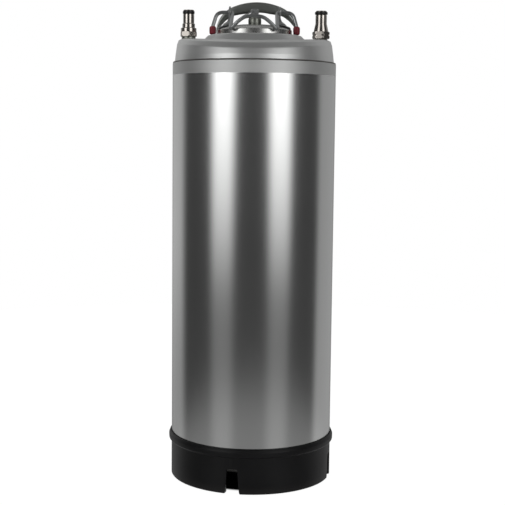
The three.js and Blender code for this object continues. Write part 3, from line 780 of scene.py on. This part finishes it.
class KEG_OT_stage(bpy.types.Operator):
    """Pale floor, soft studio light and the camera"""
    bl_idname = "keg.stage"
    bl_label = "Stage"

    def execute(self, context):
        look = context.scene.stage_settings
        self.floor(context, tuple(look.floor_tone))
        self.world(context, look.box_power)
        eye = bpy.data.cameras.new("studio_camera")
        eye.lens = look.lens
        eye.sensor_width = 36
        camera = bpy.data.objects.new("studio_camera", eye)
        context.scene.collection.objects.link(camera)
        turn = math.radians(VIEW_TURN)
        camera.location = (EYE_DISTANCE * math.sin(turn), -EYE_DISTANCE * math.cos(turn), EYE_HEIGHT)
        camera.rotation_mode = "XYZ"
        camera.rotation_euler = (math.radians(90 - VIEW_PITCH), 0, turn)
        base = camera.rotation_euler.to_matrix().to_4x4()
        roll = Matrix.Rotation(math.radians(VIEW_ROLL), 4, "Z")
        camera.matrix_world = Matrix.Translation(camera.location) @ base @ roll
        context.scene.camera = camera
        context.scene.view_settings.view_transform = "Standard"
        return {"FINISHED"}

    def floor(self, context, tone):
        """A round pale floor. The camera sees all of it. Under the keg it carries a painted shadow: its colour is
        near-black and its glow fades out there. Other rays meet it only under the keg, where it also shades the
        inside of the foot, so the barrel reflects the studio and not the floor."""
        turn = 2 * np.pi * np.arange(FLOOR_SIDES) / FLOOR_SIDES
        rim = np.stack([FLOOR_RADIUS * np.cos(turn), FLOOR_RADIUS * np.sin(turn), 0 * turn], -1)
        mesh = bpy.data.meshes.new("studio_floor")
        mesh.from_pydata(rim.tolist(), [], [list(range(FLOOR_SIDES))])
        plane = bpy.data.objects.new("studio_floor", mesh)
        context.scene.collection.objects.link(plane)
        paper = Finish("floor_paper", Roughness=0.9)
        glow = paper.node("ShaderNodeEmission", {}, Color=(1.0, 1.0, 1.0), Strength=FLOOR_GLOW)["Emission"]
        lit = Wire(paper.tree, paper.shader.outputs["BSDF"])
        far = paper.node("ShaderNodeVectorMath", {"operation": "LENGTH"}, i0=paper.place)["Value"]
        clear_of_painted_shadow = paper.spread(far, PAINTED_SHADOW_RADIUS, OPEN_RADIUS, 0.0, 1.0)
        # Painted shadow: inside the keg's footprint the floor colour goes near-black and the glow fades out.
        paper.set(paper.shader.inputs["Base Color"], paper.mix(clear_of_painted_shadow, (0.004, 0.004, 0.004), tone))
        bright = paper.node("ShaderNodeMixShader", {}, i0=clear_of_painted_shadow * GLOW_SHARE, i1=lit, i2=glow)["Shader"]
        clear = paper.node("ShaderNodeBsdfTransparent")["BSDF"]
        seen = paper.node("ShaderNodeLightPath")["Is Camera Ray"]
        solid = seen.max(1.0 - clear_of_painted_shadow)
        shown = paper.node("ShaderNodeMixShader", {}, i0=solid, i1=clear, i2=bright)["Shader"]
        out = next(n for n in paper.tree.nodes if n.type == "OUTPUT_MATERIAL")
        paper.set(out.inputs["Surface"], shown)
        mesh.materials.append(paper.material)

    def world(self, context, power):
        """White where the camera looks past the object. Round about: two tall softboxes, about 43 degrees to the left
        and 38 to the right of the camera, fading downward, a paler wall behind the object and dim space between."""
        world = bpy.data.worlds.new("studio")
        context.scene.world = world
        world.use_nodes = True
        world.node_tree.nodes.clear()
        sky = Nodes(world.node_tree)
        way = sky.node("ShaderNodeSeparateXYZ", {}, Vector=sky.node("ShaderNodeTexCoord")["Generated"])
        side = way["X"].math("ARCTAN2", way["X"], way["Y"] * -1.0) - math.radians(VIEW_TURN)
        up = way["Z"]
        soft = math.radians(7)
        boxes = (sky.band(side, math.radians(-59), math.radians(-28), soft) * 1.28
                 + sky.band(side, math.radians(23), math.radians(53), soft) * 1.30)
        fade = sky.node("ShaderNodeMapRange", {"interpolation_type": "LINEAR"}, Value=up, From_Min=-0.18,
                        From_Max=0.30, To_Min=0.13, To_Max=2.05)["Result"]
        shade = boxes * fade * sky.spread(up, 0.40, 0.61, 1.0, 0.0)
        behind_left = sky.spread(side, math.radians(-124), math.radians(-106), 0.52, 0.0)
        behind = (sky.spread(side, math.radians(98), math.radians(109), 0.0, 0.37)
                  + behind_left * sky.spread(up, -0.28, -0.06, 0.62, 1.0))
        behind = behind * sky.spread(side.abs(), math.radians(150), math.radians(172), 1.0, 0.5)
        ground = sky.spread(up, -0.40, -0.31, 0.24, 0.0)
        above = sky.spread(up, 0.5, 0.8, 0.0, 0.05)
        total = (shade + behind + ground + above + SPACE_BETWEEN) * power
        dim = sky.node("ShaderNodeBackground", {}, Color=(1.0, 1.0, 1.0), Strength=total)["Background"]
        white = sky.node("ShaderNodeBackground", {}, Color=(1.0, 1.0, 1.0), Strength=1.0)["Background"]
        seen = sky.node("ShaderNodeLightPath")["Is Camera Ray"]
        shown = sky.node("ShaderNodeMixShader", {}, i0=seen, i1=dim, i2=white)["Shader"]
        sky.node("ShaderNodeOutputWorld", {}, Surface=shown)


class KEG_PT_panel(bpy.types.Panel):
    bl_idname = "KEG_PT_panel"
    bl_label = "Beer keg"
    bl_space_type = "VIEW_3D"
    bl_region_type = "UI"
    bl_category = "Keg"

    def draw(self, context):
        for group in (context.scene.keg_settings, context.scene.stage_settings):
            for name in group.__annotations__:
                self.layout.prop(group, name)
        for step in STEPS:
            self.layout.operator(step.bl_idname)


STEPS = (KEG_OT_shell, KEG_OT_boot, KEG_OT_strap, KEG_OT_posts, KEG_OT_lid, KEG_OT_bail, KEG_OT_kept, KEG_OT_stage)
CLASSES = (KegSettings, StageSettings, *STEPS, KEG_PT_panel)


def register():
    for cls in CLASSES:
        bpy.utils.register_class(cls)
    bpy.types.Scene.keg_settings = bpy.props.PointerProperty(type=KegSettings)
    bpy.types.Scene.stage_settings = bpy.props.PointerProperty(type=StageSettings)


def unregister():
    del bpy.types.Scene.stage_settings
    del bpy.types.Scene.keg_settings
    for cls in reversed(CLASSES):
        bpy.utils.unregister_class(cls)


def main():
    register()
    make_finishes(bpy.context.scene.keg_settings)
    bpy.ops.keg.shell()
    bpy.ops.keg.boot()
    bpy.ops.keg.strap()
    bpy.ops.keg.posts()
    bpy.ops.keg.lid()
    bpy.ops.keg.bail()
    bpy.ops.keg.kept()
    bpy.ops.keg.stage()


if __name__ == "__main__":
    main()
